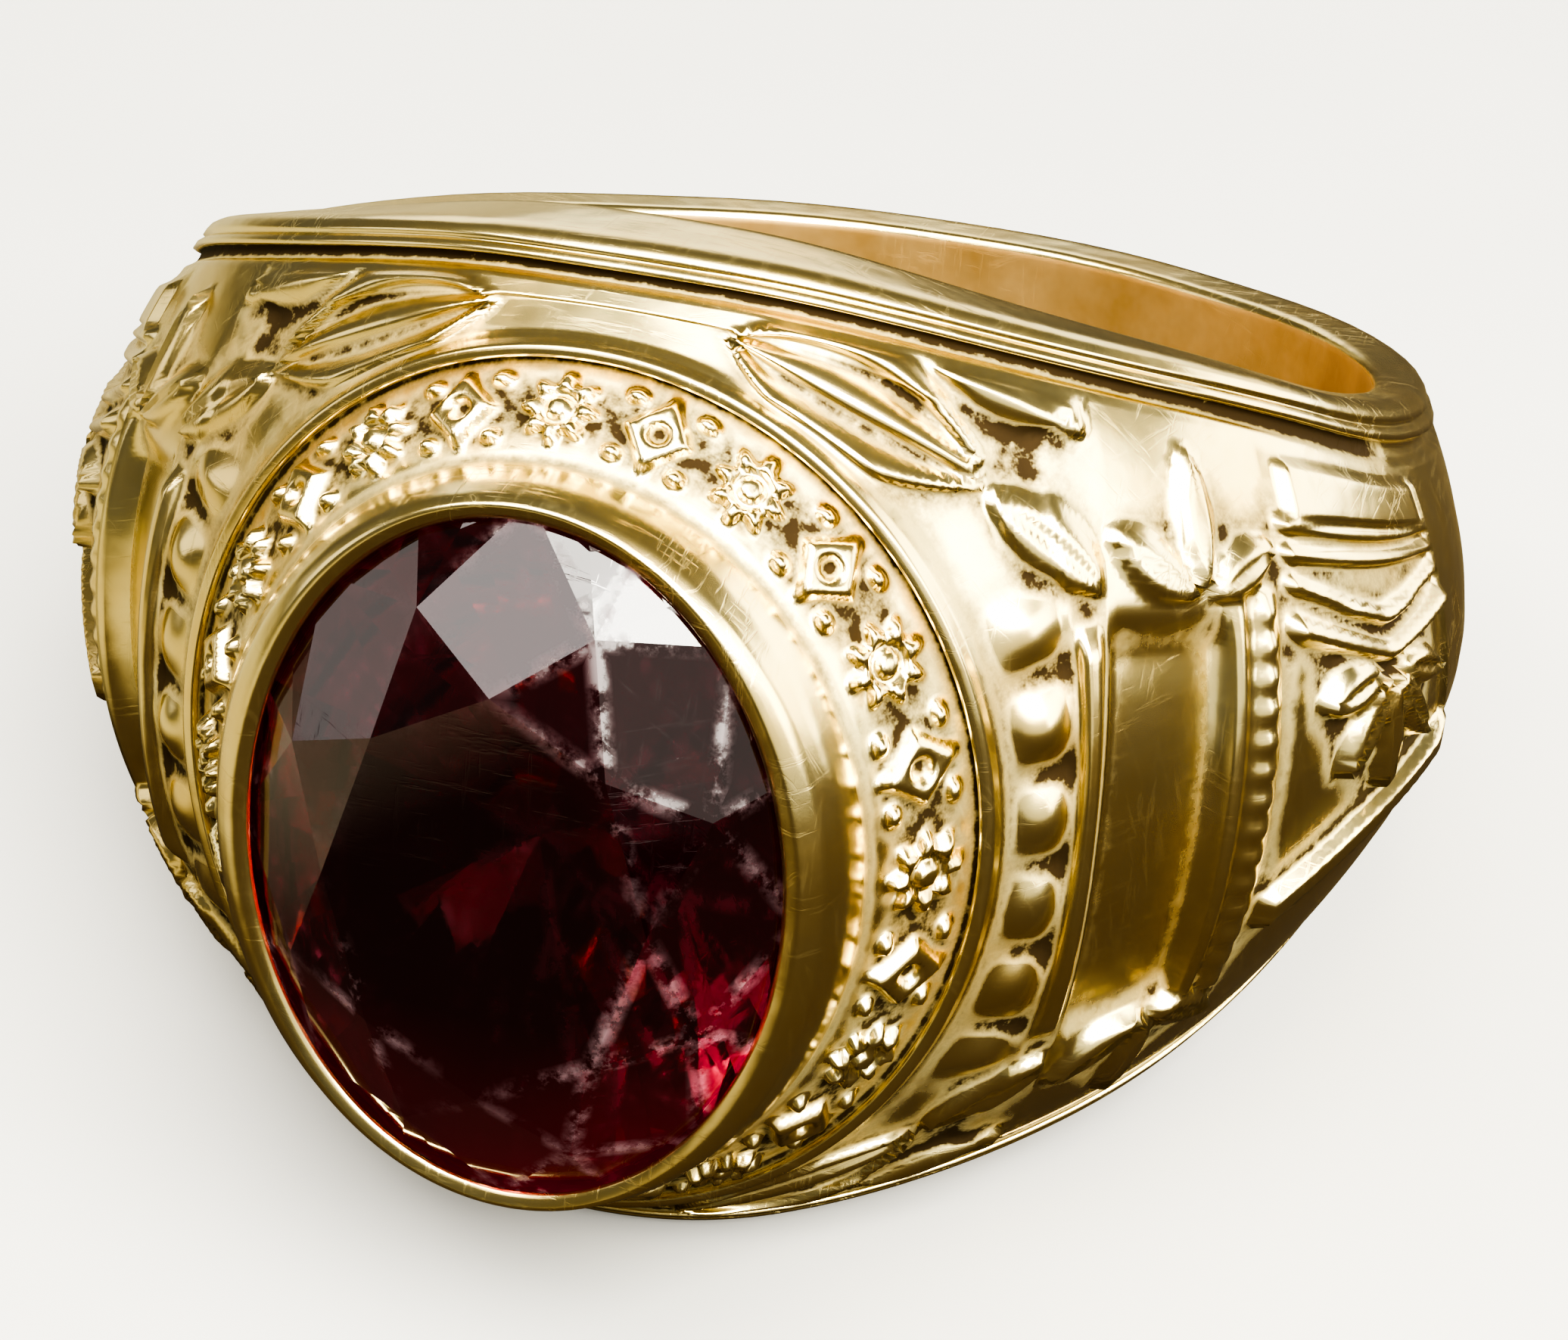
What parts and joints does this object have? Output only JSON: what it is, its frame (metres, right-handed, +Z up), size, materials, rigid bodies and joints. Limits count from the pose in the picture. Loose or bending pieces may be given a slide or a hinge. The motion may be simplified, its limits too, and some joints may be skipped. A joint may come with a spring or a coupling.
{
  "type": "ring",
  "caption": "Cast metal signet-style ring with a high oval head, a faceted oval stone in a smooth collar, a raised ornament channel and patterned shoulders",
  "frame": {"origin": "centre of the bounding box's base, on the surface the ring lies on", "axes": "+Z up. The ring lies on its side: the stone faces -Y and a little up, the back of the band is at +Y, and the finger hole's axis leans from +Z towards +Y by the rest angle. X runs across the head, and the ring is mirror-symmetric in X"},
  "size_m": [0.024, 0.0278, 0.0159],
  "materials": {
    "gold": "polished yellow gold, worn, darker in the recesses",
    "garnet": "polished facets, dark red"
  },
  "bodies": {
    "root": {"ring_body": "gold", "stone": "garnet"}
  },
  "joints": []
}
